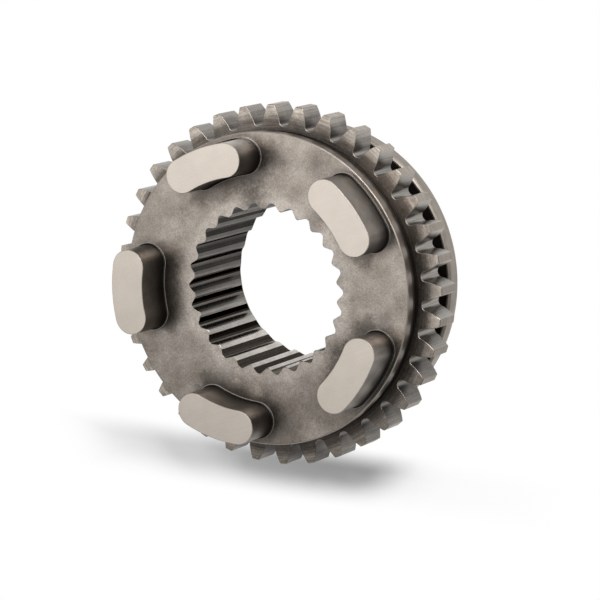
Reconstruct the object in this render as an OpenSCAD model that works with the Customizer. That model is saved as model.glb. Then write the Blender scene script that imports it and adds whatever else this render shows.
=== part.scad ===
// Differential locking gear: one piece of turned, hobbed and broached steel.
// It slides on a splined axle shaft. A fork moves it by the groove at its rear,
// and five kidney-shaped dogs on its front face lock into the differential case.
// Origin: centre of the rear face. +Z runs along the axis towards the dogs.

/* [Outer gear teeth] */
// Number of outer teeth
gear_teeth = 36; // [32:1:44]
// Module of the outer teeth
gear_module = 2.5; // [2.3:0.05:3]
// Pressure angle of the outer teeth, in degrees
pressure_angle = 20; // [17:0.5:22]
// Length of a tooth along the axis, measured at its root
tooth_len = 10.2; // [6:0.1:20]
// How far the rear end of a tooth leans forward between root and tip
tooth_rear_lean = 1.7; // [0:0.1:3]
// Edge break at the front of each tooth tip
tooth_front_break = 0.2; // [0.1:0.05:0.8]
// Edge break along each tooth tip
tooth_tip_break = 0.15; // [0.05:0.01:0.35]
// Angle of one tooth centre, anticlockwise from +X
tooth_phase = 1.2; // [0:0.1:10]

/* [Bore spline] */
// Number of spline teeth
spline_teeth = 26; // [20:1:30]
// Diameter across the crests of the spline teeth
spline_minor_d = 41.6; // [38:0.1:46]
// Depth of a spline groove below the crests
spline_depth = 1.75; // [1.4:0.05:2.4]
// Radius at the bottom of each spline groove
spline_groove_round = 1.1; // [0.7:0.05:1.2]
// Radius on each spline crest
spline_crest_round = 0.7; // [0.4:0.05:0.8]
// Angle of one spline crest, anticlockwise from +X
spline_phase = 1.5; // [0:0.1:13]
// Length of the cone that leads in from the rear
lead_in_len = 5; // [1:0.1:8]
// Angle of that cone from the axis, in degrees
lead_in_angle = 30; // [20:1:45]
// Edge break of the bore at the front face
bore_break = 0.3; // [0.1:0.05:0.6]

/* [Front disc] */
// How far the edge of the disc lies inside the root circle of the teeth
disc_step = 0.78; // [0.3:0.02:3]
// Height of the disc face above the front ends of the teeth
shoulder_h = 6.6; // [5:0.1:12]
// Depth of the tapered relief that is turned under the disc
relief_depth = 0.9; // [0.3:0.1:2]
// Height at which the relief starts, above the front ends of the teeth
relief_h = 3.9; // [1:0.1:5]
// Width of the small groove at the foot of the shoulder
foot_groove_w = 0.4; // [0.2:0.1:1.2]
// Depth of that groove below the front ends of the teeth
foot_groove_depth = 0.25; // [0.1:0.05:0.6]
// Edge break round the disc face
disc_break = 0.2; // [0.1:0.05:1]

/* [Locking dogs] */
// Number of dogs
dog_count = 5; // [3:1:6]
// How far the outer side of a dog lies inside the edge of the disc
dog_inset = 1.56; // [0.8:0.02:4]
// Width of a dog across that circle
dog_w = 9.06; // [6:0.02:10]
// Angle between the centres of a dog's two round ends
dog_span = 21.9; // [12:0.1:30]
// Height of a dog above the disc face
dog_h = 11.1; // [4:0.1:16]
// Edge break round the end of a dog
dog_break = 0.15; // [0.1:0.05:0.8]
// Radius in the corner between a dog and the disc face
dog_foot_round = 0.55; // [0.2:0.05:1]

/* [Fork groove and rear ring] */
// Thickness of the rear ring
ring_len = 4.7; // [3:0.1:8]
// How far the outside of the rear ring lies inside the root circle of the teeth
ring_step = 0.78; // [0.3:0.02:5]
// Edge break round the front of the rear ring
ring_front_break = 0.6; // [0.2:0.1:1.2]
// Edge break round the rear face
ring_rear_break = 0.4; // [0.2:0.1:1.2]
// Width of the fork groove
groove_w = 9; // [6:0.1:14]
// Depth of the fork groove, from the outside of the rear ring
groove_depth = 6.1; // [3:0.1:10]
// Radius in the corners at the bottom of the fork groove
groove_round = 0.8; // [0.3:0.1:2]

/* [Hidden] */

$fn = 96;
// Overshoot of a cutter past the face it opens
past = 1;
// Points on one flank of a tooth
flank_points = 6;
// Points on one rounded corner
round_points = 5;
// How far the round at a dog's foot runs on below the disc face, so that it meets it at an angle
foot_sink = 0.04;
// Root clearance, as a share of the module
root_clearance = 0.25;
// Height above the root circle at which the root fillet meets the flank
fillet_reach = 1;

// Heights above the rear face
z_ring = ring_len;
z_tooth_rear = z_ring + groove_w;
z_tooth_front = z_tooth_rear + tooth_len;
z_face = z_tooth_front + shoulder_h;

// Radii of the outer gear
pitch_r = gear_module * gear_teeth / 2;
tip_r = pitch_r + gear_module;
root_r = pitch_r - gear_module * (1 + root_clearance);
base_r = pitch_r * cos(pressure_angle);

// Radii of the turned blank
disc_r = root_r - disc_step;
relief_r = disc_r - relief_depth;
ring_r = root_r - ring_step;
groove_r = ring_r - groove_depth;

// Radius of the circle that the middle of the dogs follows
dog_r = disc_r - dog_inset - dog_w / 2;
spline_minor_r = spline_minor_d / 2;
spline_major_r = spline_minor_r + spline_depth;

// A point at a radius and an angle
function polar(r, a) = [r * cos(a), r * sin(a)];

// Involute function of an angle, in degrees
function involute(a) = tan(a) * 180 / PI - a;

// Angle between the radius and the flank of an involute at radius r
function slope_at(r) = acos(min(1, base_r / r));

// Half the angle of one tooth, and of one tooth space, at radius r
function half_tooth(r) = 90 / gear_teeth + involute(pressure_angle) - involute(slope_at(r));
function half_space(r) = 180 / gear_teeth - half_tooth(r);

// The root fillet is a circle that touches the flank at fillet_r and also the root circle
fillet_r = root_r + fillet_reach;
fillet_slope = half_space(fillet_r) + slope_at(fillet_r);
fillet_round = (pow(fillet_r, 2) - pow(root_r, 2)) / (2 * (root_r - fillet_r * sin(slope_at(fillet_r))));
fillet_centre = polar(fillet_r, half_space(fillet_r))
    + fillet_round * [sin(fillet_slope), -cos(fillet_slope)];
fillet_foot = atan2(fillet_centre.y, fillet_centre.x);

// One side of a tooth space, from its centre line out to the tip
space_side = concat(
    [for (i = [0 : round_points])
        let (a = 180 + fillet_foot + (fillet_slope - 90 - fillet_foot) * i / round_points)
        fillet_centre + polar(fillet_round, a)],
    [for (i = [1 : flank_points])
        let (r = fillet_r + (tip_r - tooth_tip_break - fillet_r) * i / flank_points)
        polar(r, half_space(r))],
    [polar(tip_r + tooth_tip_break, half_space(tip_r - tooth_tip_break)
        + atan2(2 * tooth_tip_break, tip_r))]);

// Whole outline of the gear: each space is its side and the mirror image of it
function turned(p, a) = [p.x * cos(a) - p.y * sin(a), p.x * sin(a) + p.y * cos(a)];
function gear_outline() = [for (k = [0 : gear_teeth - 1])
    let (a = tooth_phase + (k + 0.5) * 360 / gear_teeth, n = len(space_side))
    each concat(
        [for (i = [n - 1 : -1 : 0]) turned([space_side[i].x, -space_side[i].y], a)],
        [for (i = [0 : n - 1]) turned(space_side[i], a)])];

// Spline: the flank is the line that touches both the groove circle and the crest circle
spline_half_pitch = 180 / spline_teeth;
groove_centre = [spline_major_r - spline_groove_round, 0];
crest_centre = polar(spline_minor_r + spline_crest_round, spline_half_pitch);
centre_line = crest_centre - groove_centre;
flank_turn = atan2(centre_line.y, centre_line.x)
    - acos((spline_groove_round + spline_crest_round) / norm(centre_line));
spline_side = concat(
    [for (i = [0 : round_points])
        groove_centre + polar(spline_groove_round, flank_turn * i / round_points)],
    [for (i = [0 : round_points])
        crest_centre + polar(spline_crest_round,
            180 + flank_turn + (spline_half_pitch - flank_turn) * i / round_points)]);
function spline_outline() = [for (k = [0 : spline_teeth - 1])
    let (a = spline_phase + (k + 0.5) * 360 / spline_teeth, n = len(spline_side))
    each concat(
        [for (i = [n - 2 : -1 : 0]) turned([spline_side[i].x, -spline_side[i].y], a)],
        [for (i = [1 : n - 1]) turned(spline_side[i], a)])];

// Quarter round in an inner corner of a turned profile, from one angle to another
function corner(r, z, from, to) =
    [for (i = [0 : round_points]) [r, z] + polar(groove_round, from + (to - from) * i / round_points)];

// Turned blank, with the teeth still solid and no bore
module blank() {
    rotate_extrude()
        polygon(concat(
            [[0, 0], [ring_r - ring_rear_break, 0], [ring_r, ring_rear_break],
             [ring_r, z_ring - ring_front_break], [ring_r - ring_front_break, z_ring]],
            corner(groove_r + groove_round, z_ring + groove_round, 270, 180),
            corner(groove_r + groove_round, z_tooth_rear - groove_round, 180, 90),
            [[root_r, z_tooth_rear], [tip_r, z_tooth_rear + tooth_rear_lean],
             [tip_r, z_tooth_front - tooth_front_break],
             [tip_r - tooth_front_break, z_tooth_front],
             [relief_r + foot_groove_w, z_tooth_front],
             [relief_r + foot_groove_w, z_tooth_front - foot_groove_depth],
             [relief_r, z_tooth_front - foot_groove_depth],
             [disc_r, z_tooth_front + relief_h],
             [disc_r, z_face - disc_break], [disc_r - disc_break, z_face], [0, z_face]]));
}

// Everything between the outer teeth, cut over the length of the teeth only
module tooth_spaces() {
    translate([0, 0, z_tooth_rear - past])
        linear_extrude(tooth_len + 2 * past)
            difference() {
                circle(r = tip_r + tooth_tip_break / 2);
                polygon(gear_outline());
            }
}

// Splined bore, its lead-in cone at the rear and its edge break at the front
module splined_bore() {
    lead_in_slope = tan(lead_in_angle);
    translate([0, 0, -past])
        linear_extrude(z_face + 2 * past) polygon(spline_outline());
    translate([0, 0, -past])
        cylinder(h = lead_in_len + 2 * past,
            r1 = spline_minor_r + (lead_in_len + past) * lead_in_slope,
            r2 = spline_minor_r - past * lead_in_slope);
    translate([0, 0, z_face - bore_break - past])
        cylinder(h = bore_break + 2 * past,
            r1 = spline_minor_r - past, r2 = spline_minor_r + bore_break + past);
}

// A kidney shape that follows the dog circle. The section is half of a dog's height profile:
// its first number is measured from the middle of the dog, its second up from the face.
module kidney(section) {
    mirrored = [for (i = [len(section) - 1 : -1 : 0]) [-section[i].x, section[i].y]];
    rotate(-dog_span / 2)
        rotate_extrude(angle = dog_span)
            translate([dog_r, 0]) polygon(concat(section, mirrored));
    for (side = [-1, 1])
        rotate(side * dog_span / 2)
            translate([dog_r, 0, 0])
                rotate_extrude() polygon(concat([[0, section[0].y]], section, [[0, dog_h]]));
}

// One dog with the round at its foot, sunk a little into the disc so that both are one solid
module dog() {
    half_w = dog_w / 2;
    foot_centre = [half_w + dog_foot_round, dog_foot_round - foot_sink];
    kidney(concat(
        [[half_w + dog_foot_round, -past]],
        [for (i = [0 : round_points])
            foot_centre + polar(dog_foot_round, 270 - 90 * i / round_points)],
        [[half_w, dog_h - dog_break], [half_w - dog_break, dog_h]]));
}

module locking_gear() {
    color("#9b9289") {
        difference() {
            blank();
            tooth_spaces();
            splined_bore();
        }
        for (k = [0 : dog_count - 1])
            rotate(90 + k * 360 / dog_count)
                translate([0, 0, z_face]) dog();
    }
}

locking_gear();
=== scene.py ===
"""Dresses a differential locking gear: one piece of case-hardened steel, on its rear face, dogs up.

The whole gear is one closed skin. It is worked out from the same sizes as the solid: rows of points run
round the axis, from the front face down over the outer teeth, round the fork groove and the rear ring,
across the rear face and back up the splined bore. The five dogs rise out of the front face.
"""
import logging
import math
from dataclasses import dataclass, field
from enum import Enum, IntEnum

import bpy
import numpy as np
from mathutils import Matrix, Vector
from mathutils.geometry import delaunay_2d_cdt


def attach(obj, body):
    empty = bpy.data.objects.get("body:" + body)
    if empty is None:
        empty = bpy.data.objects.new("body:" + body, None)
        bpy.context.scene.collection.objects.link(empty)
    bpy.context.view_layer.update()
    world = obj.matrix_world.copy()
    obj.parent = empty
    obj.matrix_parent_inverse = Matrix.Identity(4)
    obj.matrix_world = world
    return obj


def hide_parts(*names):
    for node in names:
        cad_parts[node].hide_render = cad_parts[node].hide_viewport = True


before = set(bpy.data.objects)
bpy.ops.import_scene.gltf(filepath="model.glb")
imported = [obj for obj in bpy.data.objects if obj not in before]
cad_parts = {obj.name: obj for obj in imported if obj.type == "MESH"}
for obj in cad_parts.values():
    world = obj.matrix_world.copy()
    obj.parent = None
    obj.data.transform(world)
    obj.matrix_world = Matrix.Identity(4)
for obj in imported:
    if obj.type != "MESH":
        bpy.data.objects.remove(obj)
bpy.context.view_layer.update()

MM = 0.001
TURN = 2 * math.pi
# A corner of the skin that turns by more than this stays sharp.
SHARP_ANGLE = math.radians(34)
# Noise stays between these two values for the most part, and its broad patches between the next two.
NOISE_RANGE = (0.3, 0.7)
PATCH_RANGE = (0.38, 0.62)
# Size of the noise that frays the edges of fades and stains, in millimetres.
RAGGED_MM = 1.25
# Marks are this many times as long as they are apart, and turned ones change this often round the axis.
MARKS_STRETCH = 40
ROUND_WAVES = 3.0
# A fade that starts at a dog's inner side ends over this much either way of the circle of the dogs.
OUTER_SIDE_MM = 4.0
# Points of the front face that are nearer than this count as one.
MERGE_MM = 1e-7
# A triangle stays when its middle is outside this share of the round at a dog's foot.
INSIDE_FOOT = 0.98
log = logging.getLogger("locking_gear")


class Surface(IntEnum):
    """The surfaces of the gear by how each was made, and for SHADED_SPLINE_SIDE by painted shade; the
    number is the material slot.
    """
    FACE = 0
    DOG_END = 1
    DOG_SIDE = 2
    SHOULDER = 3
    TOOTH_FRONT = 4
    FLANK = 5
    TIP = 6
    CREST = 7
    SPLINE = 8
    GROOVE = 9
    RING = 10
    EDGE = 11
    FOOT_LINE = 12
    SHADED_SPLINE_SIDE = 13


class Lay(Enum):
    """The direction that a machining process leaves its marks in."""
    NONE = "none"
    CIRCULAR = "circular"
    AXIAL = "axial"
    STRAIGHT = "straight"


class Along(Enum):
    """What a fade is measured along: radius, height, distance from a dog's foot, or the way to -Y.

    INNER_FOOT is the distance from a dog's foot on the side that faces the bore. Every fade along DOWN is
    painted shade and light, for light that comes from the top.
    """
    RADIUS = "radius"
    HEIGHT = "height"
    FOOT = "foot"
    DOWN = "down"
    INNER_FOOT = "inner_foot"


def linear(code: str) -> tuple[float, float, float, float]:
    """Turns an sRGB hex colour into linear RGBA.

    Args:
        code: six hex digits, such as "9b9289".

    Returns:
        Red, green, blue and an alpha of 1, in linear light.
    """
    parts = [int(code[i:i + 2], 16) / 255 for i in (0, 2, 4)]
    light = [c / 12.92 if c <= 0.04045 else ((c + 0.055) / 1.055) ** 2.4 for c in parts]
    return (light[0], light[1], light[2], 1.0)


def add(tree: bpy.types.NodeTree, kind: str, inputs: dict | None = None,
        **settings: object) -> bpy.types.Node:
    """Adds a shader node to a tree.

    Args:
        tree: the node tree that gets the node.
        kind: Blender's name for the node, less the ShaderNode that it starts with.
        inputs: socket name or number, to a plain value, another node's output socket, or another
            node, which gives its first output.
        settings: properties of the node, such as its operation.

    Returns:
        The new node.
    """
    node = tree.nodes.new("ShaderNode" + kind)
    for name, value in settings.items():
        setattr(node, name, value)
    for key, value in (inputs or {}).items():
        source = value.outputs[0] if isinstance(value, bpy.types.Node) else value
        if isinstance(source, bpy.types.NodeSocket):
            tree.links.new(source, node.inputs[key])
        else:
            node.inputs[key].default_value = source
    return node


def blank_tree(owner: bpy.types.Material | bpy.types.World) -> bpy.types.NodeTree:
    """Gives a material or a world an empty node tree.

    Args:
        owner: the material or the world.

    Returns:
        Its node tree.
    """
    owner.use_nodes = True
    owner.node_tree.nodes.clear()
    return owner.node_tree


def put(name: str, data: bpy.types.ID) -> bpy.types.Object:
    """Puts a new object into the scene.

    Args:
        name: name of the object.
        data: its mesh, light or camera.

    Returns:
        The new object, at the origin.
    """
    thing = bpy.data.objects.new(name, data)
    bpy.context.scene.collection.objects.link(thing)
    return thing


def involute(angle: np.ndarray | float) -> np.ndarray | float:
    """Involute function: the tangent of an angle less the angle, in radians."""
    return np.tan(angle) - angle


def set_round(radius: np.ndarray, angle: np.ndarray, teeth: int,
              phase: float) -> tuple[np.ndarray, np.ndarray]:
    """Makes a whole outline: a space is its half and the mirror image of it, set round at equal steps.

    Args:
        radius: distance of each point from the axis, from the middle of a space to that of a tooth.
        angle: angle of each point from the middle of the space, in radians.
        teeth: how many spaces there are round the axis.
        phase: angle of the first tooth's middle, in degrees.

    Returns:
        Radius and angle of each point of the whole outline.
    """
    radius = np.concatenate([radius[:0:-1], radius[:-1]])
    angle = np.concatenate([-angle[:0:-1], angle[:-1]])
    middles = math.radians(phase) + (np.arange(teeth) + 0.5) * TURN / teeth
    return np.tile(radius, teeth), (middles[:, None] + angle).ravel()


def rounded(corners: list[tuple[float, float, float]], steps: int = 3) -> np.ndarray:
    """Rounds the corners of an open profile.

    Each inner corner becomes an arc that touches both of its sides. The arc's ends lie at
    radius times the tangent of half the corner's turn from the corner, and its points are
    spaced evenly in angle.

    Args:
        corners: radius, height and rounding of each corner, in order along the profile.
        steps: chords in each arc.

    Returns:
        One row of radius and height for each point.
    """
    points = [np.array(corners[0][:2])]
    for before, here, after in zip(corners, corners[1:], corners[2:]):
        corner = np.array(here[:2])
        back = np.array(before[:2]) - corner
        ahead = np.array(after[:2]) - corner
        back = back / np.linalg.norm(back)
        ahead = ahead / np.linalg.norm(ahead)
        turn = math.pi - math.acos(float(np.clip(back @ ahead, -1, 1)))
        if here[2] <= 0 or turn < 1e-3:
            points.append(corner)
            continue
        centre = corner + (back + ahead) / np.linalg.norm(back + ahead) * here[2] / math.cos(turn / 2)
        start = corner + back * here[2] * math.tan(turn / 2) - centre
        side = corner + ahead * here[2] * math.tan(turn / 2) - centre
        part = np.linspace(0, 1, steps + 1)[:, None]
        arc = (np.sin((1 - part) * turn) * start + np.sin(part * turn) * side) / math.sin(turn)
        points.extend(centre + arc)
    points.append(np.array(corners[-1][:2]))
    return np.array(points)


@dataclass
class Skin:
    """Rows of points, in millimetres, and the faces between them."""
    points: list[np.ndarray] = field(default_factory=list)
    faces: list[list[int]] = field(default_factory=list)
    slots: list[int] = field(default_factory=list)
    count: int = 0

    def loop(self, radius: np.ndarray | float, angle: np.ndarray, height: np.ndarray | float) -> np.ndarray:
        """Adds a closed row of points round the axis.

        Args:
            radius: distance of each point from the axis.
            angle: angle of each point, anticlockwise.
            height: height of each point above the rear face.

        Returns:
            The numbers of the new points.
        """
        radius, height = np.broadcast_to(radius, angle.shape), np.broadcast_to(height, angle.shape)
        return self.row(np.column_stack([radius * np.cos(angle), radius * np.sin(angle), height]))

    def row(self, points: np.ndarray) -> np.ndarray:
        """Adds points as they are.

        Args:
            points: one row of x, y and z for each point.

        Returns:
            The numbers of the new points.
        """
        self.points.append(points)
        self.count += len(points)
        return np.arange(self.count - len(points), self.count)

    def band(self, first: np.ndarray, second: np.ndarray, surface: np.ndarray | Surface) -> None:
        """Joins two closed rows with quads that face to the right of the way from first to second.

        Args:
            first: point numbers of the row that the band starts from.
            second: point numbers of the row that it ends at, as many.
            surface: one surface for the band, or one for each quad.
        """
        quads = np.column_stack([first, second, np.roll(second, -1), np.roll(first, -1)])
        self.faces.extend(quads.tolist())
        self.slots.extend(np.broadcast_to(surface, len(quads)).tolist())

    def bands(self, loops: list[np.ndarray], surfaces: list[np.ndarray | Surface] | Surface) -> None:
        """Joins a run of rows.

        Args:
            loops: point numbers of each row, in order.
            surfaces: one surface for them all, or what band takes for each pair of rows.
        """
        if isinstance(surfaces, Surface):
            surfaces = [surfaces] * (len(loops) - 1)
        for first, second, surface in zip(loops, loops[1:], surfaces):
            self.band(first, second, surface)

    def turned(self, profile: np.ndarray, angle: np.ndarray) -> list[np.ndarray]:
        """Adds one circular row for each point of a turned profile and returns the rows."""
        return [self.loop(radius, angle, height) for radius, height in profile]

    def piece(self, name: str) -> bpy.types.Object:
        """Makes the mesh object, smooth but for its corners.

        Args:
            name: name of the object.

        Returns:
            The new object, in metres, at the origin.
        """
        mesh = bpy.data.meshes.new(name)
        mesh.from_pydata((np.vstack(self.points) * MM).tolist(), [], self.faces)
        mesh.polygons.foreach_set("material_index", np.array(self.slots, dtype=np.int32))
        mesh.shade_smooth()
        mesh.set_sharp_from_angle(angle=SHARP_ANGLE)
        mesh.validate()
        return put(name, mesh)


@dataclass
class OuterTeeth:
    """Full-depth involute teeth round the outside. Lengths in millimetres, angles in degrees."""
    teeth: int = 36
    module: float = 2.5
    pressure_angle: float = 20.0
    root_clearance: float = 0.25
    fillet_reach: float = 1.0
    tip_break: float = 0.15
    front_break: float = 0.2
    rear_lean: float = 1.7
    phase: float = 1.2
    front: float = 23.9
    rear: float = 13.7
    edge: float = 0.1
    steps: int = 4

    @property
    def pitch_radius(self) -> float:
        """Radius of the pitch circle."""
        return self.module * self.teeth / 2

    @property
    def tip_radius(self) -> float:
        """Radius over the tips."""
        return self.pitch_radius + self.module

    @property
    def root_radius(self) -> float:
        """Radius at the bottom of the tooth spaces."""
        return self.pitch_radius - self.module * (1 + self.root_clearance)

    def slope(self, radius: np.ndarray | float) -> np.ndarray | float:
        """Angle between a flank and the radius: its cosine is the base radius over the radius."""
        base = self.pitch_radius * math.cos(math.radians(self.pressure_angle))
        return np.arccos(np.minimum(1.0, base / np.asarray(radius)))

    def half_space(self, radius: np.ndarray | float) -> np.ndarray | float:
        """Half angle of a space: a quarter pitch, less the pressure angle's involute, plus the slope's."""
        pressure = involute(math.radians(self.pressure_angle))
        return math.pi / 2 / self.teeth - pressure + involute(self.slope(radius))

    def half_outline(self) -> tuple[np.ndarray, np.ndarray, np.ndarray]:
        """Outline from the middle of a space to the middle of a tooth.

        The root fillet is the circle that touches the root circle and the flank. With t the radius
        where it meets the flank, its own radius is (t² - root²) / (2 (root - t sin slope)).

        Returns:
            Radius and angle of each point, and the surface of each stretch between points.
        """
        root, meet = self.root_radius, self.root_radius + self.fillet_reach
        slope, angle = float(self.slope(meet)), float(self.half_space(meet))
        size = (meet ** 2 - root ** 2) / (2 * (root - meet * math.sin(slope)))
        centre = meet * np.array([math.cos(angle), math.sin(angle)])
        centre = centre + size * np.array([math.sin(angle + slope), -math.cos(angle + slope)])
        foot = math.atan2(centre[1], centre[0])
        sweep = np.linspace(math.pi + foot, math.pi / 2 + angle + slope, self.steps + 1)
        fillet = centre + size * np.column_stack([np.cos(sweep), np.sin(sweep)])
        flank = np.linspace(meet, self.tip_radius - self.tip_break, self.steps + 1)[1:]
        land = float(self.half_space(flank[-1])) + self.tip_break / self.tip_radius
        middle = math.pi / self.teeth
        radius = np.concatenate([[root], np.hypot(*fillet.T), flank,
                                 [self.tip_radius - self.tip_break / 2], [self.tip_radius] * 3])
        angles = np.concatenate([[0], np.arctan2(fillet[:, 1], fillet[:, 0]), self.half_space(flank),
                                 [land - self.tip_break / 2 / self.tip_radius],
                                 [land, (land + middle) / 2, middle]])
        low = 2 * self.steps + 1
        kinds = np.array([Surface.FLANK] * low + [Surface.TIP] * (len(radius) - 1 - low))
        return radius, angles, kinds

    def outline(self) -> tuple[np.ndarray, np.ndarray, np.ndarray]:
        """Whole outline, from tooth to tooth.

        Returns:
            Radius and angle of each point, and the surface from each point to the next.
        """
        radius, angle, kinds = self.half_outline()
        radius, angle = set_round(radius, angle, self.teeth, self.phase)
        return radius, angle, np.tile(np.concatenate([kinds[::-1], kinds]), self.teeth)

    def build(self, skin: Skin) -> tuple[list[np.ndarray], np.ndarray]:
        """Adds the rows of the toothed part, from the front end of the teeth to the rear.

        Args:
            skin: the skin that gets the rows.

        Returns:
            The rows, and the surface round each band between the first and the last.
        """
        radius, angle, kinds = self.outline()
        shape = np.column_stack([radius * np.cos(angle), radius * np.sin(angle)])
        along = np.roll(shape, -1, axis=0) - np.roll(shape, 1, axis=0)
        inward = np.column_stack([-along[:, 1], along[:, 0]]) / np.linalg.norm(along, axis=1)[:, None]
        inset = shape + self.edge * inward
        inset_radius, inset_angle = np.hypot(*inset.T), np.unwrap(np.arctan2(inset[:, 1], inset[:, 0]))
        lean = self.rear_lean / (self.tip_radius - self.root_radius)
        rear = self.rear + lean * (radius - self.root_radius)
        front_limit = self.tip_radius - self.front_break
        rows = [
            skin.loop(np.minimum(inset_radius, front_limit), inset_angle, self.front),
            skin.loop(np.minimum(radius, front_limit + self.edge), angle, self.front - self.edge),
            skin.loop(radius, angle, self.front - self.front_break),
            skin.loop(radius, angle, rear + self.edge),
            skin.loop(inset_radius, inset_angle, self.rear + lean * (inset_radius - self.root_radius)),
        ]
        return rows, kinds


@dataclass
class BoreSpline:
    """Rounded spline through the bore. Lengths in millimetres, angles in degrees."""
    teeth: int = 26
    minor_radius: float = 20.8
    depth: float = 1.75
    groove_round: float = 1.1
    crest_round: float = 0.7
    crest_height: float = 0.42
    phase: float = 1.5
    lead_in: float = 5.0
    lead_in_angle: float = 30.0
    front_break: float = 0.3
    edge: float = 0.1
    groove_steps: int = 7
    crest_steps: int = 8

    def half_outline(self) -> tuple[np.ndarray, np.ndarray]:
        """Outline from the middle of a groove to the middle of a crest.

        The flank is the straight line that touches both circles, so it turns from the line between
        their centres by the angle whose cosine is the sum of their radii over their distance.

        Returns:
            Radius and angle of each point.
        """
        pitch = math.pi / self.teeth
        groove = np.array([self.minor_radius + self.depth - self.groove_round, 0.0])
        crest = (self.minor_radius + self.crest_round) * np.array([math.cos(pitch), math.sin(pitch)])
        span = crest - groove
        turn = math.atan2(span[1], span[0]) - math.acos(
            (self.groove_round + self.crest_round) / float(np.linalg.norm(span)))
        low = np.linspace(0, turn, self.groove_steps + 1)
        high = np.linspace(math.pi + turn, math.pi + pitch, self.crest_steps + 1)
        bottom = groove + self.groove_round * np.column_stack([np.cos(low), np.sin(low)])
        top = crest + self.crest_round * np.column_stack([np.cos(high), np.sin(high)])
        flank = bottom[-1] + (top[0] - bottom[-1]) * np.array([[1 / 3], [2 / 3]])
        points = np.vstack([bottom, flank, top])
        return np.hypot(*points.T), np.arctan2(points[:, 1], points[:, 0])

    def outline(self) -> tuple[np.ndarray, np.ndarray]:
        """Whole outline, from crest to crest, as radius and angle of each point."""
        return set_round(*self.half_outline(), self.teeth, self.phase)

    def surfaces(self) -> np.ndarray:
        """Surface from each point of the outline to the next: a crest, or a side of a groove.

        Where the outline rises, going round, the side of the groove gets the darker copy with painted
        shade.

        Returns:
            The surface that starts at each point.
        """
        radius, _ = self.outline()
        ahead = np.roll(radius, -1)
        sides = np.where(ahead > radius, Surface.SHADED_SPLINE_SIDE, Surface.SPLINE)
        return np.where((radius + ahead) / 2 < self.minor_radius + self.crest_height, Surface.CREST, sides)

    def build(self, skin: Skin, face: float) -> list[np.ndarray]:
        """Adds the rows of the bore, from the rear face up to the front face.

        The lead-in is a cone, so each point of the spline starts where its radius equals the cone's.

        Args:
            skin: the skin that gets the rows.
            face: height of the front face.

        Returns:
            The rows. The first lies on the rear face and the last on the front face.
        """
        radius, angle = self.outline()
        slope = math.tan(math.radians(self.lead_in_angle))
        mouth = self.minor_radius + self.lead_in * slope
        start = self.lead_in - (radius - self.minor_radius) / slope
        size = np.maximum(self.edge, self.minor_radius + self.front_break - radius)
        return [
            skin.loop(mouth + self.edge, angle, 0.0),
            skin.loop(mouth - self.edge * slope, angle, self.edge),
            skin.loop(radius, angle, start),
            skin.loop(radius, angle, face - size),
            skin.loop(radius + size, angle, face),
        ]


@dataclass
class LockingDogs:
    """Kidney-shaped dogs on the front face. Lengths in millimetres, angles in degrees."""
    count: int = 5
    radius: float = 35.005
    width: float = 9.06
    span: float = 21.9
    height: float = 11.1
    top_break: float = 0.15
    foot_round: float = 0.55
    side_steps: int = 24
    end_steps: int = 20
    round_steps: int = 5

    def kidney(self, middle: float, offset: float) -> np.ndarray:
        """Outline of a dog, moved outwards by an offset.

        It is an arc on each side of the dog circle and a half circle round each end.

        Args:
            middle: angle of the dog's middle, in radians.
            offset: how far the outline lies outside the dog's side.

        Returns:
            One row of x and y for each point, anticlockwise.
        """
        half, size = math.radians(self.span) / 2, self.width / 2 + offset
        side = np.linspace(-half, half, self.side_steps + 1)[:-1]
        end = np.linspace(0, math.pi, self.end_steps + 1)[:-1]
        arcs = [
            (self.radius + size) * np.column_stack([np.cos(middle + side), np.sin(middle + side)]),
            self.radius * np.array([math.cos(middle + half), math.sin(middle + half)])
            + size * np.column_stack([np.cos(middle + half + end), np.sin(middle + half + end)]),
            (self.radius - size) * np.column_stack([np.cos(middle - side), np.sin(middle - side)]),
            self.radius * np.array([math.cos(middle - half), math.sin(middle - half)])
            - size * np.column_stack([np.cos(middle - half + end), np.sin(middle - half + end)]),
        ]
        return np.vstack(arcs)

    def build(self, skin: Skin, face: float) -> list[np.ndarray]:
        """Adds the dogs.

        A dog's side is its outline at a run of offsets and heights: a quarter circle at the foot,
        the straight side, and a quarter circle round the top edge.

        Args:
            skin: the skin that gets the dogs.
            face: height of the front face.

        Returns:
            For each dog, the row of points where it meets the face.
        """
        sweep = np.linspace(0, math.pi / 2, self.round_steps + 1)
        offsets = np.concatenate([self.foot_round * (1 - np.sin(sweep)),
                                  self.top_break * (np.cos(sweep) - 1)])
        heights = np.concatenate([self.foot_round * (1 - np.cos(sweep)),
                                  self.height + self.top_break * (np.sin(sweep) - 1)])
        surfaces = [Surface.DOG_SIDE] * self.round_steps + [Surface.EDGE] * self.round_steps
        feet = []
        for number in range(self.count):
            middle = math.pi / 2 + number * TURN / self.count
            rows = []
            for offset, height in zip(offsets, heights):
                outline = self.kidney(middle, offset)
                rows.append(skin.row(np.column_stack([outline, np.full(len(outline), face + height)])))
            for lower, upper, surface in zip(rows, rows[1:], [Surface.FOOT_LINE, *surfaces]):
                skin.band(upper, lower, surface)
            skin.faces.append(rows[-1].tolist())
            skin.slots.append(int(Surface.DOG_END))
            feet.append(rows[0])
        return feet


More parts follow.
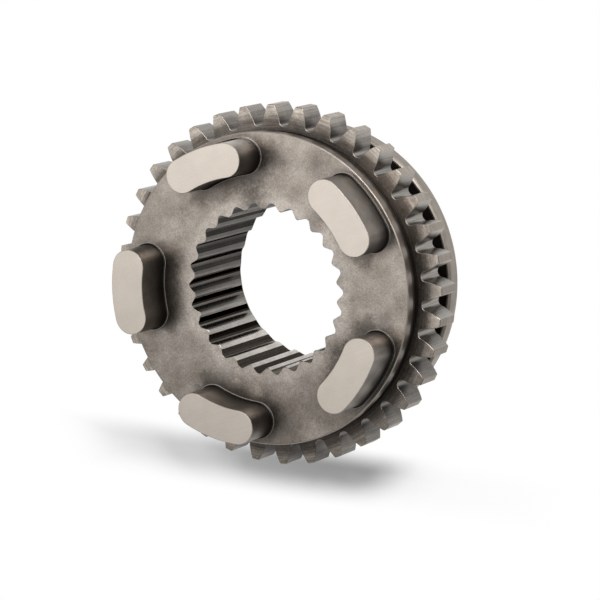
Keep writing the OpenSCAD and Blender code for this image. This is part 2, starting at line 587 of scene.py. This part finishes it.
@dataclass
class TurnedBody:
    """What the lathe leaves: disc, shoulder, fork groove and rear ring. Lengths in millimetres."""
    face: float = 30.5
    disc_radius: float = 41.095
    disc_break: float = 0.2
    relief_depth: float = 0.9
    relief_height: float = 3.9
    relief_round: float = 0.4
    foot_groove_width: float = 0.4
    foot_groove_depth: float = 0.25
    foot_groove_round: float = 0.1
    ledge_round: float = 0.06
    ledge_run: float = 0.1
    ring_radius: float = 41.095
    ring_length: float = 4.7
    ring_front_break: float = 0.6
    ring_rear_break: float = 0.4
    groove_depth: float = 6.1
    groove_round: float = 0.8
    edge: float = 0.12
    run: float = 0.4

    def shoulder(self, tooth_front: float) -> np.ndarray:
        """Profile from the disc face down the shoulder to the front ends of the teeth.

        Args:
            tooth_front: height of the front ends.

        Returns:
            One row of radius and height for each point.
        """
        disc, edge = self.disc_radius, self.edge
        relief, floor = disc - self.relief_depth, tooth_front - self.foot_groove_depth
        ledge = relief + self.foot_groove_width
        return rounded([
            (disc - self.disc_break - self.run, self.face, 0),
            (disc - self.disc_break, self.face, edge),
            (disc, self.face - self.disc_break, edge),
            (disc, tooth_front + self.relief_height, self.relief_round),
            (relief, floor, self.foot_groove_round),
            (ledge, floor, self.ledge_round),
            (ledge, tooth_front, self.ledge_round),
            (ledge + self.ledge_run, tooth_front, 0)])

    def fork_groove(self, tooth_rear: float, start: float) -> np.ndarray:
        """Profile from the rear of the teeth into the fork groove and out to the rear ring.

        Args:
            tooth_rear: height of the rear ends of the teeth.
            start: radius that the profile starts from.

        Returns:
            One row of radius and height for each point.
        """
        bottom = self.ring_radius - self.groove_depth
        return rounded([
            (start, tooth_rear, 0),
            (bottom, tooth_rear, self.groove_round),
            (bottom, self.ring_length, self.groove_round),
            (self.ring_radius - self.ring_front_break - self.run, self.ring_length, 0)])

    def rear_ring(self) -> np.ndarray:
        """Profile over the rear ring, down to the rear face.

        Returns:
            One row of radius and height for each point.
        """
        ring, edge = self.ring_radius, self.edge
        return rounded([
            (ring - self.ring_front_break - self.run, self.ring_length, 0),
            (ring - self.ring_front_break, self.ring_length, edge),
            (ring, self.ring_length - self.ring_front_break, edge),
            (ring, self.ring_rear_break, edge),
            (ring - self.ring_rear_break, 0, edge),
            (ring - self.ring_rear_break - self.run, 0, 0)])


@dataclass(frozen=True)
class Fade:
    """A colour that comes in over a stretch of the surface: painted shade or painted highlight in most
    finishes, wear in a few.

    Its edge is ragged: noise moves it to and fro, within about a third of ragged_mm either way.
    """
    along: Along
    clear_mm: float
    full_mm: float
    colour: str
    strength: float
    ragged_mm: float = 0.0


@dataclass(frozen=True)
class PaintedShading:
    """A soft round patch of painted shade or painted highlight, as its colour is darker or lighter, at a
    place as seen from the front.
    """
    x_mm: float
    y_mm: float
    reach_mm: float
    colour: str
    strength: float


@dataclass(frozen=True)
class SteelFinish:
    """Steel as one process leaves it.

    colour and mottle_and_painted_shading are the two tones of the steel's own mottle, which drift into each
    other over patch_mm; marks_mm is the spacing of the machining marks and grain_mm the size of the fine
    grit, both of them lighter and darker by their tone, from 0 to 1, and raised or sunk by their depth. The
    roughness swings with the grit. glare is how much the steel brightens at flat angles, and 1 is bare
    steel. The fades and the patches of painted_shading lay painted shade and painted highlights over the
    tone.
    """
    name: str
    colour: str
    mottle_and_painted_shading: str
    roughness: float
    swing: float = 0.05
    glare: float = 1.0
    patch_mm: float = 7.0
    patch_tone: float = 0.6
    lay: Lay = Lay.NONE
    marks_mm: float = 0.4
    marks_tone: float = 0.0
    marks_depth_mm: float = 0.0
    grain_mm: float = 0.35
    grain_tone: float = 0.1
    grain_depth_mm: float = 0.0
    fades: tuple[Fade, ...] = ()
    painted_shading: tuple[PaintedShading, ...] = ()

    def material(self, dogs: LockingDogs) -> bpy.types.Material:
        """Builds the material.

        Args:
            dogs: the dogs, from whose feet some fades are measured.

        Returns:
            The new material.
        """
        material = bpy.data.materials.new(self.name)
        tree = blank_tree(material)
        here = add(tree, "TexCoord").outputs["Object"]
        place = add(tree, "VectorMath", {0: here, "Scale": 1 / MM}, operation="SCALE").outputs[0]
        patch = self.noise(tree, place, (1 / self.patch_mm,) * 3, detail=4.0, roughness=0.6)
        spread = add(tree, "MapRange", {0: patch, 1: PATCH_RANGE[0], 2: PATCH_RANGE[1], 4: self.patch_tone})
        tone = add(tree, "Mix", {0: spread, 6: linear(self.colour), 7: linear(self.mottle_and_painted_shading)},
                   data_type="RGBA").outputs[2]
        for fade in self.fades:
            tone = self.faded(tree, tone, place, fade, dogs)
        for mottle_and_painted_shading in self.painted_shading:
            tone = self.paint_shading(tree, tone, place, mottle_and_painted_shading)
        grain = self.noise(tree, place, (1 / self.grain_mm,) * 3)
        marks = self.marks(tree, place)
        tone = self.shaded(tree, tone, grain, self.grain_tone)
        tone = self.shaded(tree, tone, marks, self.marks_tone)
        rough = add(tree, "MapRange", {0: grain, 1: NOISE_RANGE[0], 2: NOISE_RANGE[1],
                                       3: self.roughness - self.swing, 4: self.roughness + self.swing})
        inputs = {"Base Color": tone, "Metallic": 1.0, "Roughness": rough,
                  "Specular Tint": (self.glare, self.glare, self.glare, 1.0)}
        for height, depth in ((grain, self.grain_depth_mm), (marks, self.marks_depth_mm)):
            if depth > 0:
                bump = {"Height": height, "Distance": depth * MM, "Strength": 1.0}
                if "Normal" in inputs:
                    bump["Normal"] = inputs["Normal"]
                inputs["Normal"] = add(tree, "Bump", bump)
        add(tree, "OutputMaterial", {"Surface": add(tree, "BsdfPrincipled", inputs)})
        return material

    @staticmethod
    def noise(tree: bpy.types.NodeTree, place: bpy.types.NodeSocket, scale: tuple[float, float, float],
              detail: float = 3.0, roughness: float = 0.7) -> bpy.types.NodeSocket:
        """Noise over a place in millimetres, with a scale for each axis, in waves per millimetre."""
        spot = add(tree, "VectorMath", {0: place, 1: scale}, operation="MULTIPLY")
        return add(tree, "TexNoise", {"Vector": spot, "Scale": 1.0, "Detail": detail,
                                      "Roughness": roughness}).outputs[0]

    @staticmethod
    def shaded(tree: bpy.types.NodeTree, tone: bpy.types.NodeSocket, pattern: bpy.types.NodeSocket,
               amount: float) -> bpy.types.NodeSocket:
        """Makes a colour lighter and darker by a pattern.

        Args:
            tree: the material's node tree.
            tone: the colour.
            pattern: noise.
            amount: the colour is multiplied by one less this to one plus this.

        Returns:
            The new colour.
        """
        if amount <= 0:
            return tone
        factor = add(tree, "MapRange", {0: pattern, 1: NOISE_RANGE[0], 2: NOISE_RANGE[1], 3: 1 - amount,
                                        4: 1 + amount})
        return add(tree, "VectorMath", {0: tone, "Scale": factor}, operation="SCALE").outputs[0]

    def marks(self, tree: bpy.types.NodeTree, place: bpy.types.NodeSocket) -> bpy.types.NodeSocket:
        """Machining marks: noise that is fine across the lay and drawn out along it.

        Turned marks vary with radius and height, drawn out round the axis. Broached and hobbed marks
        vary across the axis. Ground marks vary with one direction across the face.

        Args:
            tree: the material's node tree.
            place: place on the gear, in millimetres.

        Returns:
            The noise.
        """
        fine, long = 1 / self.marks_mm, 1 / (MARKS_STRETCH * self.marks_mm)
        if self.lay is Lay.CIRCULAR:
            split = add(tree, "SeparateXYZ", {0: place})
            flat = add(tree, "CombineXYZ", {0: split.outputs[0], 1: split.outputs[1]})
            radius = add(tree, "VectorMath", {0: flat}, operation="LENGTH")
            round_way = add(tree, "VectorMath", {0: flat}, operation="NORMALIZE")
            heading = add(tree, "SeparateXYZ", {0: round_way})
            level = add(tree, "Math", {0: radius.outputs[1], 1: split.outputs[2]}, operation="ADD")
            place = add(tree, "CombineXYZ", {0: level, 1: heading.outputs[0], 2: heading.outputs[1]})
            return self.noise(tree, place.outputs[0], (fine, ROUND_WAVES, ROUND_WAVES))
        scale = {Lay.AXIAL: (fine, fine, long), Lay.STRAIGHT: (long, fine, fine)}.get(self.lay, (fine,) * 3)
        return self.noise(tree, place, scale)

    @staticmethod
    def ragged(tree: bpy.types.NodeTree, place: bpy.types.NodeSocket) -> bpy.types.NodeSocket:
        """Noise that frays the edge of a fade or a stain."""
        return SteelFinish.noise(tree, place, (1 / RAGGED_MM,) * 3, detail=5.0, roughness=0.75)

    @staticmethod
    def faded(tree: bpy.types.NodeTree, tone: bpy.types.NodeSocket, place: bpy.types.NodeSocket, fade: Fade,
              dogs: LockingDogs) -> bpy.types.NodeSocket:
        """Mixes a fade's colour in, from nothing where it is clear to its strength where it is full.

        Beyond the circle of the dogs, the distance from a dog's inner side counts as longer.

        Args:
            tree: the material's node tree.
            tone: the colour so far.
            place: place on the gear, in millimetres.
            fade: the fade.
            dogs: the dogs, for a fade that is measured from their feet.

        Returns:
            The new colour.
        """
        split = add(tree, "SeparateXYZ", {0: place})
        if fade.along is Along.HEIGHT:
            measure = split.outputs[2]
        elif fade.along is Along.DOWN:
            measure = add(tree, "Math", {0: split.outputs[1], 1: -1.0}, operation="MULTIPLY").outputs[0]
        else:
            flat = add(tree, "CombineXYZ", {0: split.outputs[0], 1: split.outputs[1]})
            measure = add(tree, "VectorMath", {0: flat}, operation="LENGTH").outputs[1]
        if fade.along in (Along.FOOT, Along.INNER_FOOT):
            radius = measure
            measure = SteelFinish.foot_distance(tree, split, radius, dogs)
        if fade.along is Along.INNER_FOOT:
            outer = add(tree, "MapRange", {0: radius, 1: dogs.radius - OUTER_SIDE_MM,
                                           2: dogs.radius + OUTER_SIDE_MM, 4: 3 * OUTER_SIDE_MM})
            measure = add(tree, "Math", {0: measure, 1: outer}, operation="ADD").outputs[0]
        if fade.ragged_mm > 0:
            shift = add(tree, "Math", {0: SteelFinish.ragged(tree, place), 1: 0.5}, operation="SUBTRACT")
            measure = add(tree, "Math", {0: shift, 1: fade.ragged_mm, 2: measure}, operation="MULTIPLY_ADD")
        ramp = add(tree, "MapRange", {0: measure, 1: fade.clear_mm, 2: fade.full_mm, 4: fade.strength},
                   interpolation_type="SMOOTHSTEP")
        return add(tree, "Mix", {0: ramp, 6: tone, 7: linear(fade.colour)}, data_type="RGBA").outputs[2]

    @staticmethod
    def paint_shading(tree: bpy.types.NodeTree, tone: bpy.types.NodeSocket, place: bpy.types.NodeSocket,
                mottle_and_painted_shading: PaintedShading) -> bpy.types.NodeSocket:
        """Mixes a patch of painted shade or painted highlight in, from its strength in the middle to
        nothing at its reach.

        The noise that frays it adds half its reach on average, so its ramp lies that much further out.

        Args:
            tree: the material's node tree.
            tone: the colour so far.
            place: place on the gear, in millimetres.
            mottle_and_painted_shading: the patch of painted shade or painted highlight.

        Returns:
            The new colour.
        """
        middle = add(tree, "VectorMath", {0: place, 1: (mottle_and_painted_shading.x_mm, mottle_and_painted_shading.y_mm, 0.0)}, operation="SUBTRACT")
        flat = add(tree, "VectorMath", {0: middle, 1: (1.0, 1.0, 0.0)}, operation="MULTIPLY")
        far = add(tree, "VectorMath", {0: flat}, operation="LENGTH").outputs[1]
        frayed = add(tree, "Math", {0: SteelFinish.ragged(tree, place), 1: mottle_and_painted_shading.reach_mm, 2: far},
                     operation="MULTIPLY_ADD")
        ramp = add(tree, "MapRange", {0: frayed, 1: 1.5 * mottle_and_painted_shading.reach_mm, 2: 0.5 * mottle_and_painted_shading.reach_mm,
                                      4: mottle_and_painted_shading.strength}, interpolation_type="SMOOTHSTEP")
        return add(tree, "Mix", {0: ramp, 6: tone, 7: linear(mottle_and_painted_shading.colour)}, data_type="RGBA").outputs[2]

    @staticmethod
    def foot_distance(tree: bpy.types.NodeTree, split: bpy.types.Node, radius: bpy.types.NodeSocket,
                      dogs: LockingDogs) -> bpy.types.NodeSocket:
        """Distance from the side of the nearest dog, in millimetres.

        The angle is folded to half a dog pitch and brought to zero within the dog's arc. What is left
        and the radius are a point whose distance from the dog circle is worked out in the plane.

        Args:
            tree: the material's node tree.
            split: the node that gives x, y and z of the place, in millimetres.
            radius: distance of the place from the axis.
            dogs: the dogs.

        Returns:
            The distance.
        """
        pitch, half = TURN / dogs.count, math.radians(dogs.span) / 2
        angle = add(tree, "Math", {0: split.outputs[1], 1: split.outputs[0]}, operation="ARCTAN2")
        moved = add(tree, "Math", {0: angle, 1: math.pi / 2}, operation="SUBTRACT")
        folded = add(tree, "Math", {0: moved, 1: pitch / 2}, operation="PINGPONG")
        # The fold counts from a dog's middle, because the dogs start at a right angle from the X axis.
        past = add(tree, "Math", {0: folded, 1: half}, operation="SUBTRACT")
        left = add(tree, "Math", {0: past, 1: 0.0}, operation="MAXIMUM")
        across = add(tree, "Math", {0: left}, operation="SINE")
        ahead = add(tree, "Math", {0: left}, operation="COSINE")
        sideways = add(tree, "Math", {0: radius, 1: across}, operation="MULTIPLY")
        outwards = add(tree, "Math", {0: radius, 1: ahead, 2: -dogs.radius}, operation="MULTIPLY_ADD")
        flat = add(tree, "CombineXYZ", {0: sideways, 1: outwards})
        length = add(tree, "VectorMath", {0: flat}, operation="LENGTH")
        return add(tree, "Math", {0: length.outputs[1], 1: dogs.width / 2}, operation="SUBTRACT").outputs[0]


FINISHES: dict[Surface, SteelFinish] = {
    # Case-hardened steel, turned before hardening and then tumbled: a warm grey, mottled and cloudy.
    # Rubbed lighter round the bore. Painted shade darkens it towards -Y and round the dogs' feet, with
    # painted reflections of the dogs' dark sides, and it carries patches of painted shade and painted
    # highlights.
    Surface.FACE: SteelFinish(
        "tumbled_hardened_steel", "aca39a", "82796f", 0.33, patch_mm=6.0, marks_mm=1.5, marks_tone=0.2,
        grain_mm=0.4, grain_tone=0.28, grain_depth_mm=0.012,
        # Darker towards -Y: painted shade.
        fades=(Fade(Along.DOWN, 20.0, 32.0, "5a534d", 0.35),
               Fade(Along.RADIUS, 26.0, 23.0, "cfc6bd", 0.4),
               # Dark round the dogs' feet, most on their bore side: painted shade and painted reflections
               # of the dogs.
               Fade(Along.FOOT, 3.4, 0.4, "3c3733", 0.45, ragged_mm=3.0),
               Fade(Along.INNER_FOOT, 6.0, 2.6, "2a2522", 0.55, ragged_mm=6.0)),
        # Patches of painted shade, the dark ones, and painted highlights, the light ones.
        painted_shading=(PaintedShading(5.0, 23.5, 7.0, "2f2a27", 0.65), PaintedShading(15.0, 31.0, 6.0, "2f2a27", 0.45),
                PaintedShading(14.0, -21.0, 6.0, "332e2b", 0.7), PaintedShading(21.0, -3.0, 5.0, "332e2b", 0.4),
                PaintedShading(20.0, 12.0, 5.0, "332e2b", 0.45), PaintedShading(-24.0, -1.0, 6.0, "cfc6bd", 0.45),
                PaintedShading(-20.0, -14.0, 6.0, "cfc6bd", 0.4), PaintedShading(-2.0, -25.0, 5.0, "cfc6bd", 0.35),
                PaintedShading(26.0, 26.0, 5.0, "4c4641", 0.4), PaintedShading(30.0, -17.0, 5.0, "4c4641", 0.35),
                PaintedShading(0.0, -41.0, 7.0, "c2b8ae", 0.75), PaintedShading(40.0, 0.0, 6.0, "b8aea4", 0.5),
                PaintedShading(-24.0, 20.0, 5.0, "b8aea4", 0.6), PaintedShading(-12.0, -24.0, 4.0, "b8aea4", 0.6))),
    # Ground after hardening: the palest surface, with a faint straight grain.
    Surface.DOG_END: SteelFinish(
        "ground_steel", "d8cec3", "cfc5ba", 0.38, lay=Lay.STRAIGHT, marks_tone=0.03, grain_tone=0.05),
    # Milled sides, left dark by the heat treatment, with painted shade that deepens to near black towards
    # the foot.
    Surface.DOG_SIDE: SteelFinish(
        "milled_oxidised_steel", "867f78", "5c5651", 0.42, grain_tone=0.12,
        # Darker to near black towards the foot: painted shade.
        fades=(Fade(Along.HEIGHT, 38.0, 31.0, "141110", 0.85),),
        # A painted highlight on the end of the dog at +Y, and painted shade on two other dog ends.
        painted_shading=(PaintedShading(9.0, 39.0, 4.0, "e0dad2", 0.7), PaintedShading(-27.0, 20.5, 4.0, "35312e", 0.75),
                PaintedShading(-10.5, -31.0, 4.0, "35312e", 0.75))),
    # Where the mill's corner ended in the face: a thin bright line round each dog.
    Surface.FOOT_LINE: SteelFinish(
        "milled_steel_foot_line", "a39b93", "857e77", 0.5, grain_tone=0.1,
        # A broad patch of painted shade over the foot line of the dog towards +X and -Y.
        painted_shading=(PaintedShading(22.0, -27.0, 13.0, "2a2724", 0.85),)),
    # Turned wall of the disc: dull, and darker towards its foot with painted shade in the recess under the
    # disc.
    Surface.SHOULDER: SteelFinish(
        "turned_hardened_steel", "8b837b", "736b64", 0.4, lay=Lay.CIRCULAR, marks_tone=0.12,
        marks_mm=0.5, fades=(Fade(Along.HEIGHT, 29.1, 24.8, "1d1917", 0.75),)),
    # Turned front ends of the teeth, with rings left by the tool, darker towards the roots, and darker
    # towards -Y with painted shade.
    Surface.TOOTH_FRONT: SteelFinish(
        "turned_steel_with_tool_rings", "bfb5aa", "857c73", 0.38, patch_mm=2.2, patch_tone=0.45,
        lay=Lay.CIRCULAR, marks_mm=0.45, marks_tone=0.4, marks_depth_mm=0.03, grain_mm=0.5,
        grain_tone=0.26,
        fades=(Fade(Along.RADIUS, 46.0, 43.2, "2c2622", 0.72, ragged_mm=2.0),
               Fade(Along.DOWN, 25.0, 42.0, "3a3430", 0.5))),
    # Hobbed flanks: smooth and dark grey, streaked along the teeth. Painted shade darkens them towards the
    # roots and towards -Y; painted highlights brighten them towards the tips and at the very roots.
    Surface.FLANK: SteelFinish(
        "hobbed_steel", "7f7972", "514b46", 0.3, lay=Lay.AXIAL, marks_tone=0.34, grain_tone=0.16,
        fades=(Fade(Along.RADIUS, 44.2, 42.6, "2a2623", 0.5),
               Fade(Along.RADIUS, 42.5, 42.0, "b4aea6", 0.45),
               Fade(Along.RADIUS, 44.8, 46.8, "b3ada6", 0.5),
               Fade(Along.DOWN, 20.0, 36.0, "2c2724", 0.5))),
    # Outside of the blank, left on the tips, with bright rings where the tool has turned it, and darker
    # from +Y towards -Y with painted shade.
    Surface.TIP: SteelFinish(
        "turned_steel_outside", "b4aa9e", "90867b", 0.36, lay=Lay.CIRCULAR, marks_mm=0.5, marks_tone=0.3,
        grain_tone=0.16, fades=(Fade(Along.DOWN, -32.0, 30.0, "5f5750", 0.6),)),
    # Crests of the broached spline, rubbed by the shaft, darker towards +Y with painted shade.
    Surface.CREST: SteelFinish(
        "rubbed_broached_steel", "e4dfd8", "bcb6af", 0.34, lay=Lay.AXIAL, marks_mm=0.3, marks_tone=0.12,
        grain_tone=0.24, fades=(Fade(Along.DOWN, 14.0, -4.0, "4a4642", 0.72),)),
    # One side of each spline groove: smooth and dark with painted shade, with painted light in the groove
    # bottoms and towards -Y, and painted shade again at the very bottom and towards +Y.
    Surface.SPLINE: SteelFinish(
        "broached_steel_painted_shade", "4a4641", "2e2b28", 0.27, lay=Lay.AXIAL, marks_mm=0.35, marks_tone=0.3,
        grain_tone=0.22,
        fades=(Fade(Along.RADIUS, 22.1, 22.45, "7a746e", 0.8),
               Fade(Along.DOWN, -6.0, 2.0, "857e76", 0.6),
               Fade(Along.DOWN, 17.0, 21.0, "3d3935", 0.7),
               Fade(Along.DOWN, -12.0, -17.0, "0d0b0a", 0.5))),
    # The side of each groove where the outline rises: a darker copy of the other side, painted shade with
    # little glare, and painted light in the groove bottoms, towards -Y and towards +Y.
    Surface.SHADED_SPLINE_SIDE: SteelFinish(
        "broached_steel_deep_painted_shade", "1c1a18", "121110", 0.3, glare=0.25, lay=Lay.AXIAL, marks_mm=0.35,
        marks_tone=0.25, grain_tone=0.2,
        fades=(Fade(Along.RADIUS, 22.3, 22.5, "5c5752", 0.5),
               Fade(Along.DOWN, 3.0, 15.0, "7a746e", 0.42),
               Fade(Along.DOWN, 20.3, 21.6, "a39b92", 0.8),
               Fade(Along.DOWN, -13.0, -17.0, "57524d", 0.9))),
    # Fork groove: oxide and oil that nothing has rubbed off yet.
    Surface.GROOVE: SteelFinish(
        "oxidised_turned_steel", "4b4642", "34302d", 0.4, lay=Lay.CIRCULAR, marks_tone=0.1),
    # Rear ring: turned all over.
    Surface.RING: SteelFinish(
        "turned_ring_steel", "a1998f", "847b72", 0.48, lay=Lay.CIRCULAR, marks_mm=0.5, marks_tone=0.24,
        grain_tone=0.12),
    # Edges that handling and deburring have rubbed bright.
    Surface.EDGE: SteelFinish("burnished_steel_edge", "b4aba2", "999088", 0.5, grain_tone=0.1),
}


@dataclass
class LockingGear:
    """The whole gear, as one skin. Lengths in millimetres.

    The front edges of the teeth are rubbed bright up to rubbed_depth above their roots. Further out they
    are bright only where the sine of their angle is more than lit_edge_sine, and those towards -Y are left
    darker with painted shade. edge_rows is the number of bands that make up the start of the disc's face
    and its edge. The fork groove starts groove_inset inside the roots.
    """
    body: TurnedBody = field(default_factory=TurnedBody)
    teeth: OuterTeeth = field(default_factory=OuterTeeth)
    spline: BoreSpline = field(default_factory=BoreSpline)
    dogs: LockingDogs = field(default_factory=LockingDogs)
    rubbed_depth: float = 1.4
    lit_edge_sine: float = -0.35
    edge_rows: int = 7
    groove_inset: float = 0.25

    def build(self) -> bpy.types.Object:
        """Builds the skin as one closed piece and dresses it.

        Returns:
            The finished piece.
        """
        skin = Skin()
        radius, angle, _ = self.teeth.outline()
        root = self.teeth.root_radius
        # Edges near the roots are rubbed; the rest are bright only away from -Y, which is painted light.
        rubbed_and_lit = (radius < root + self.rubbed_depth) | (np.sin(angle) > self.lit_edge_sine)
        edges = np.where(rubbed_and_lit, Surface.EDGE, Surface.TOOTH_FRONT)
        shoulder = skin.turned(self.body.shoulder(self.teeth.front), angle)
        toothed, kinds = self.teeth.build(skin)
        groove = skin.turned(self.body.fork_groove(self.teeth.rear, root - self.groove_inset), angle)
        ring = skin.turned(self.body.rear_ring()[1:], angle)
        bore = self.spline.build(skin, self.body.face)
        rim = [Surface.FACE] + [Surface.EDGE] * (self.edge_rows - 1)
        skin.bands(shoulder[:self.edge_rows + 1], rim)
        skin.bands(shoulder[self.edge_rows:], Surface.SHOULDER)
        skin.band(shoulder[-1], toothed[0], Surface.TOOTH_FRONT)
        skin.bands(toothed, [edges] + [kinds] * 2 + [Surface.TOOTH_FRONT])
        skin.band(toothed[-1], groove[0], Surface.RING)
        skin.bands(groove, Surface.GROOVE)
        skin.bands([groove[-1], *ring, bore[0]], Surface.RING)
        skin.bands(bore, [Surface.RING, Surface.RING, self.spline.surfaces(), Surface.EDGE])
        feet = self.dogs.build(skin, self.body.face)
        self.front_face(skin, shoulder[0], bore[-1], feet)
        piece = skin.piece("locking_gear_steel")
        smooth = piece.modifiers.new("even_normals", "WEIGHTED_NORMAL")
        smooth.keep_sharp = True
        for surface in Surface:
            piece.data.materials.append(FINISHES[surface].material(self.dogs))
        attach(piece, "root")
        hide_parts("locking_gear")
        return piece

    def front_face(self, skin: Skin, rim: np.ndarray, bore: np.ndarray,
                   feet: list[np.ndarray]) -> None:
        """Fills the flat front face between its rim, the bore and the feet of the dogs with triangles.

        Triangles whose middle lies in the bore or in a dog are left out, and the rest face forwards.

        Args:
            skin: the skin that gets the face.
            rim: point numbers of the outer edge.
            bore: point numbers of the inner edge.
            feet: for each dog, the point numbers of its foot.
        """
        rows = [rim, bore, *feet]
        numbers = np.concatenate(rows)
        flat = np.vstack(skin.points)[numbers][:, :2]
        starts = np.cumsum([0] + [len(row) for row in rows])
        edges = [(int(a + i), int(a + (i + 1) % (b - a)))
                 for a, b in zip(starts, starts[1:]) for i in range(b - a)]
        _, _, faces, origins, _, _ = delaunay_2d_cdt([Vector(p) for p in flat], edges, [], 0, MERGE_MM)
        triangles = np.array([group[0] for group in origins])[np.array(faces)]
        middle = flat[triangles].mean(axis=1)
        radius, angle = np.hypot(*middle.T), np.arctan2(middle[:, 1], middle[:, 0])
        bore_points = flat[starts[1]:starts[2]]
        bore_angle = np.arctan2(bore_points[:, 1], bore_points[:, 0])
        limit = np.interp(angle, bore_angle, np.hypot(*bore_points.T), period=TURN)
        keep = radius > limit
        pitch = TURN / self.dogs.count
        folded = np.abs((angle - math.pi / 2 + pitch / 2) % pitch - pitch / 2)
        past = np.maximum(folded - math.radians(self.dogs.span) / 2, 0)
        distance = np.hypot(radius * np.sin(past), radius * np.cos(past) - self.dogs.radius)
        keep &= distance > self.dogs.width / 2 + INSIDE_FOOT * self.dogs.foot_round
        corners = flat[triangles]
        first, second = corners[:, 1] - corners[:, 0], corners[:, 2] - corners[:, 0]
        area = first[:, 0] * second[:, 1] - first[:, 1] * second[:, 0]
        triangles[area < 0] = triangles[area < 0][:, ::-1]
        kept = numbers[triangles[keep]]
        skin.faces.extend(kept.tolist())
        skin.slots.extend([int(Surface.FACE)] * len(kept))


@dataclass(frozen=True)
class Lamp:
    """A square lamp that faces the middle of the gear. Its place and size are in metres."""
    name: str
    place: tuple[float, float, float]
    size: float
    watts: float


@dataclass
class Studio:
    """Pale table, soft light and the camera over the gear. Lengths in metres, angles in degrees.

    The strip without glow is bounded by distances along shadow_side and by its reach from the middle.
    Each bound gives where the glow is out and where it is whole.
    """
    camera_place: tuple[float, float, float] = (0.429439, -0.015043, 0.802141)
    camera_aim: tuple[float, float, float] = (0.000419, -0.005422, 0.01525)
    camera_roll: float = 107.45
    lens_mm: float = 204.105
    sensor_mm: float = 36.0
    clip: tuple[float, float] = (0.01, 10.0)
    shadow_side: tuple[float, float, float] = (-0.39, -0.92, 0.0)
    strip_start: tuple[float, float] = (0.0525, 0.0455)
    strip_end: tuple[float, float] = (0.0545, 0.0635)
    strip_reach: tuple[float, float] = (0.078, 0.098)
    under_gear: float = 0.03
    bore_glow: float = 0.4
    table_half: float = 3.0
    clearance: float = 0.00002
    room: float = 0.32
    # A high key lamp, a low side lamp and a soft box close over the gear.
    lamps: tuple[Lamp, ...] = (Lamp("key_lamp", (0.33, 0.585, 1.16), 0.35, 5.0),
                               Lamp("side_lamp", (0.82, 0.58, 0.9), 0.35, 11.2),
                               Lamp("soft_box", (-0.14, 0.105, 0.46), 0.3, 0.35))

    def camera(self) -> None:
        """Sets the camera: it looks from its place to its aim, turned about that line by its roll."""
        place, aim = Vector(self.camera_place), Vector(self.camera_aim)
        look = (aim - place).normalized()
        right = look.cross(Vector((0, 0, 1))).normalized()
        upright = Matrix((right, right.cross(look), -look)).transposed().to_4x4()
        data = bpy.data.cameras.new("camera")
        data.lens, data.sensor_width = self.lens_mm, self.sensor_mm
        data.clip_start, data.clip_end = self.clip
        thing = put("camera", data)
        thing.matrix_world = Matrix.Translation(place) @ upright @ Matrix.Rotation(
            -math.radians(self.camera_roll), 4, "Z")
        bpy.context.scene.camera = thing

    def table(self) -> None:
        """Makes the table top, a light table that glows white but for the strip where the shadow falls.

        It lies a hair below the rear face, so that the two never coincide. The strip is on the side away
        from the key lamp: there the glow gives way to plain white card, and beyond the shadow it comes
        back. A strength of 1 is white to the camera and in the steel. Under the gear the steel mirrors
        only part of the glow, because the gear itself keeps the light off.
        """
        half, top = self.table_half, -self.clearance
        mesh = bpy.data.meshes.new("table_top")
        mesh.from_pydata([(-half, -half, top), (half, -half, top), (half, half, top), (-half, half, top)],
                         [], [(0, 1, 2, 3)])
        material = bpy.data.materials.new("white_card")
        tree = blank_tree(material)
        rays = add(tree, "LightPath").outputs
        place = add(tree, "TexCoord").outputs["Object"]
        reach = add(tree, "VectorMath", {0: place}, operation="LENGTH").outputs[1]
        away = add(tree, "VectorMath", {0: place, 1: self.shadow_side}, operation="DOT_PRODUCT").outputs[1]
        clear = add(tree, "MapRange", {0: reach, 1: self.under_gear, 2: self.under_gear + MM,
                                       3: self.bore_glow})
        mirrored = add(tree, "Math", {0: rays["Is Glossy Ray"], 1: rays["Is Transmission Ray"]},
                       operation="MAXIMUM")
        mirrored = add(tree, "Math", {0: mirrored, 1: clear}, operation="MULTIPLY")
        seen = add(tree, "Math", {0: rays["Is Camera Ray"], 1: mirrored}, operation="MAXIMUM")
        bounds = ((away, self.strip_start), (away, self.strip_end), (reach, self.strip_reach))
        near, far, outside = [add(tree, "MapRange", {0: measure, 1: out, 2: whole},
                                  interpolation_type="SMOOTHSTEP") for measure, (out, whole) in bounds]
        beyond = add(tree, "Math", {0: far, 1: outside}, operation="MAXIMUM")
        glowing = add(tree, "Math", {0: near, 1: beyond}, operation="MAXIMUM")
        share = add(tree, "Math", {0: seen, 1: glowing}, operation="MULTIPLY")
        card = add(tree, "BsdfDiffuse", {"Color": linear("fafafa")})
        glow = add(tree, "Emission", {"Color": linear("ffffff"), "Strength": 1.0})
        both = add(tree, "MixShader", {0: share, 1: card, 2: glow})
        add(tree, "OutputMaterial", {"Surface": both})
        mesh.materials.append(material)
        put("table_top", mesh)

    def lights(self) -> None:
        """Sets the light: a dim pale room and the lamps, each turned to face the middle of the gear."""
        world = bpy.data.worlds.new("studio")
        tree = blank_tree(world)
        glow = add(tree, "Background", {"Color": linear("ffffff"), "Strength": self.room})
        add(tree, "OutputWorld", {"Surface": glow})
        bpy.context.scene.world = world
        for lamp in self.lamps:
            data = bpy.data.lights.new(lamp.name, "AREA")
            data.shape, data.size, data.energy = "SQUARE", lamp.size, lamp.watts
            thing = put(lamp.name, data)
            thing.location = lamp.place
            thing.rotation_euler = Vector(lamp.place).to_track_quat("Z", "Y").to_euler()

    def build(self) -> None:
        """Sets up the stage."""
        self.camera()
        self.table()
        self.lights()
        bpy.context.scene.view_settings.view_transform = "Standard"


def main() -> None:
    """Builds the studio and the gear."""
    logging.basicConfig(level=logging.INFO, format="%(message)s")
    Studio().build()
    piece = LockingGear().build()
    log.info("%s: %d faces", piece.name, len(piece.data.polygons))


if __name__ == "__main__":
    main()
